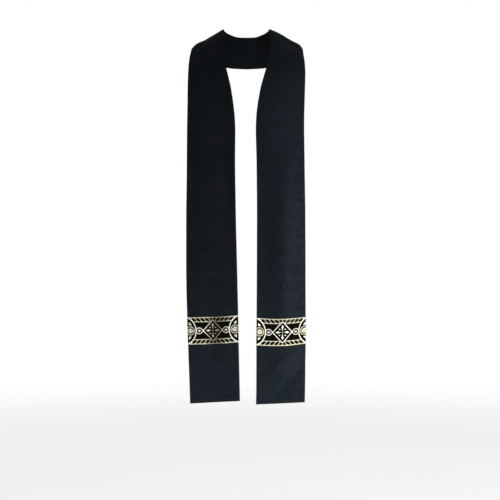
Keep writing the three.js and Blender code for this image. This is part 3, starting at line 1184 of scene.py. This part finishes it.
def makeFloor():
    # A pale floor that the camera sees turn into the plain background farther out
    half = stage["floorSize"] / 2
    corners = np.array([(-half, -half), (half, -half), (half, half), (-half, half)])
    vertices = np.column_stack([corners, np.full(4, stage["floorZ"])])
    floor = buildMesh("floor", vertices, np.array([[0, 1, 2, 3]]))
    material, tree, shader = newMaterial("paleFloor", Base_Color=(0.86, 0.86, 0.87, 1), Roughness=0.9,
                                         Specular_IOR_Level=0.1)
    coordinates = tree.nodes.new("ShaderNodeTexCoord")
    flat = tree.nodes.new("ShaderNodeVectorMath")
    flat.operation = "MULTIPLY"
    flat.inputs[1].default_value = (1, 1, 0)
    tree.links.new(coordinates.outputs["Object"], flat.inputs[0])
    length = tree.nodes.new("ShaderNodeVectorMath")
    length.operation = "LENGTH"
    tree.links.new(flat.outputs[0], length.inputs[0])
    radius = length.outputs["Value"]
    far = ramp(tree, radius, stage["nearRadius"], stage["farRadius"], stage["floorGlow"])
    glow = tree.nodes.new("ShaderNodeEmission")
    glow.inputs["Color"].default_value = (1, 1, 1, 1)
    glow.inputs["Strength"].default_value = stage["background"]
    path = tree.nodes.new("ShaderNodeLightPath")
    blend = tree.nodes.new("ShaderNodeMixShader")
    tree.links.new(calculator(tree)("MULTIPLY", far, path.outputs["Is Camera Ray"]), blend.inputs[0])
    tree.links.new(shader.outputs[0], blend.inputs[1])
    tree.links.new(glow.outputs[0], blend.inputs[2])
    tree.links.new(blend.outputs[0], tree.nodes["Material Output"].inputs["Surface"])
    floor.data.materials.append(material)


def makeWorld():
    # Seen directly it is white, and it lights the cloth more softly
    world = bpy.data.worlds.new("studio")
    bpy.context.scene.world = world
    world.use_nodes = True
    tree = world.node_tree
    background = tree.nodes["Background"]
    background.inputs["Color"].default_value = (1, 1, 1, 1)
    path = tree.nodes.new("ShaderNodeLightPath")
    strength = tree.nodes.new("ShaderNodeMapRange")
    tree.links.new(path.outputs["Is Camera Ray"], strength.inputs["Value"])
    strength.inputs["To Min"].default_value = stage["ambient"]
    strength.inputs["To Max"].default_value = stage["background"]
    tree.links.new(strength.outputs["Result"], background.inputs["Strength"])


softLights = [
    # name, place, side of the square, watts, colour
    ("key", (1.65, -1.00, -0.70), 0.9, 26.5, (1.0, 1.0, 1.0)),
    ("keyLow", (0.75, -0.45, -1.50), 0.25, 5.5, (1.0, 0.995, 0.98)),
    ("lowLeft", (-0.50, -0.70, -1.46), 0.2, 3.0, (1.0, 1.0, 1.0)),
    ("lowFront", (0.00, -1.10, -1.40), 0.25, 2.4, (1.0, 1.0, 1.0)),
    ("fill", (-0.90, -3.40, -0.40), 1.2, 3.6, (0.98, 0.99, 1.0)),
]


def makeLights():
    # Square lights, each turned towards the middle of the stole
    for name, place, size, watts, colour in softLights:
        light = bpy.data.lights.new(name, "AREA")
        light.size = size
        light.energy = watts
        light.color = colour
        lamp = bpy.data.objects.new(name, light)
        lamp.location = place
        target = np.array(stage["aim"]) - np.array(place)
        heading = math.atan2(target[0], -target[1])
        tilt = math.atan2(math.hypot(target[0], target[1]), -target[2])
        lamp.rotation_euler = (tilt, 0, heading + math.pi)
        bpy.context.scene.collection.objects.link(lamp)


shot = {"place": (0.012, -4.13, -0.730), "lens": 90.0, "sensor": 36.0}


def makeCamera():
    # Level, looking along +Y
    data = bpy.data.cameras.new("camera")
    data.lens = shot["lens"]
    data.sensor_width = shot["sensor"]
    camera = bpy.data.objects.new("camera", data)
    camera.location = shot["place"]
    camera.rotation_euler = (math.pi / 2, 0, 0)
    bpy.context.scene.collection.objects.link(camera)
    bpy.context.scene.camera = camera
    bpy.context.scene.view_settings.view_transform = "Standard"


makeFloor()
makeWorld()
makeLights()
makeCamera()
print("stole: floor, lights and camera placed")
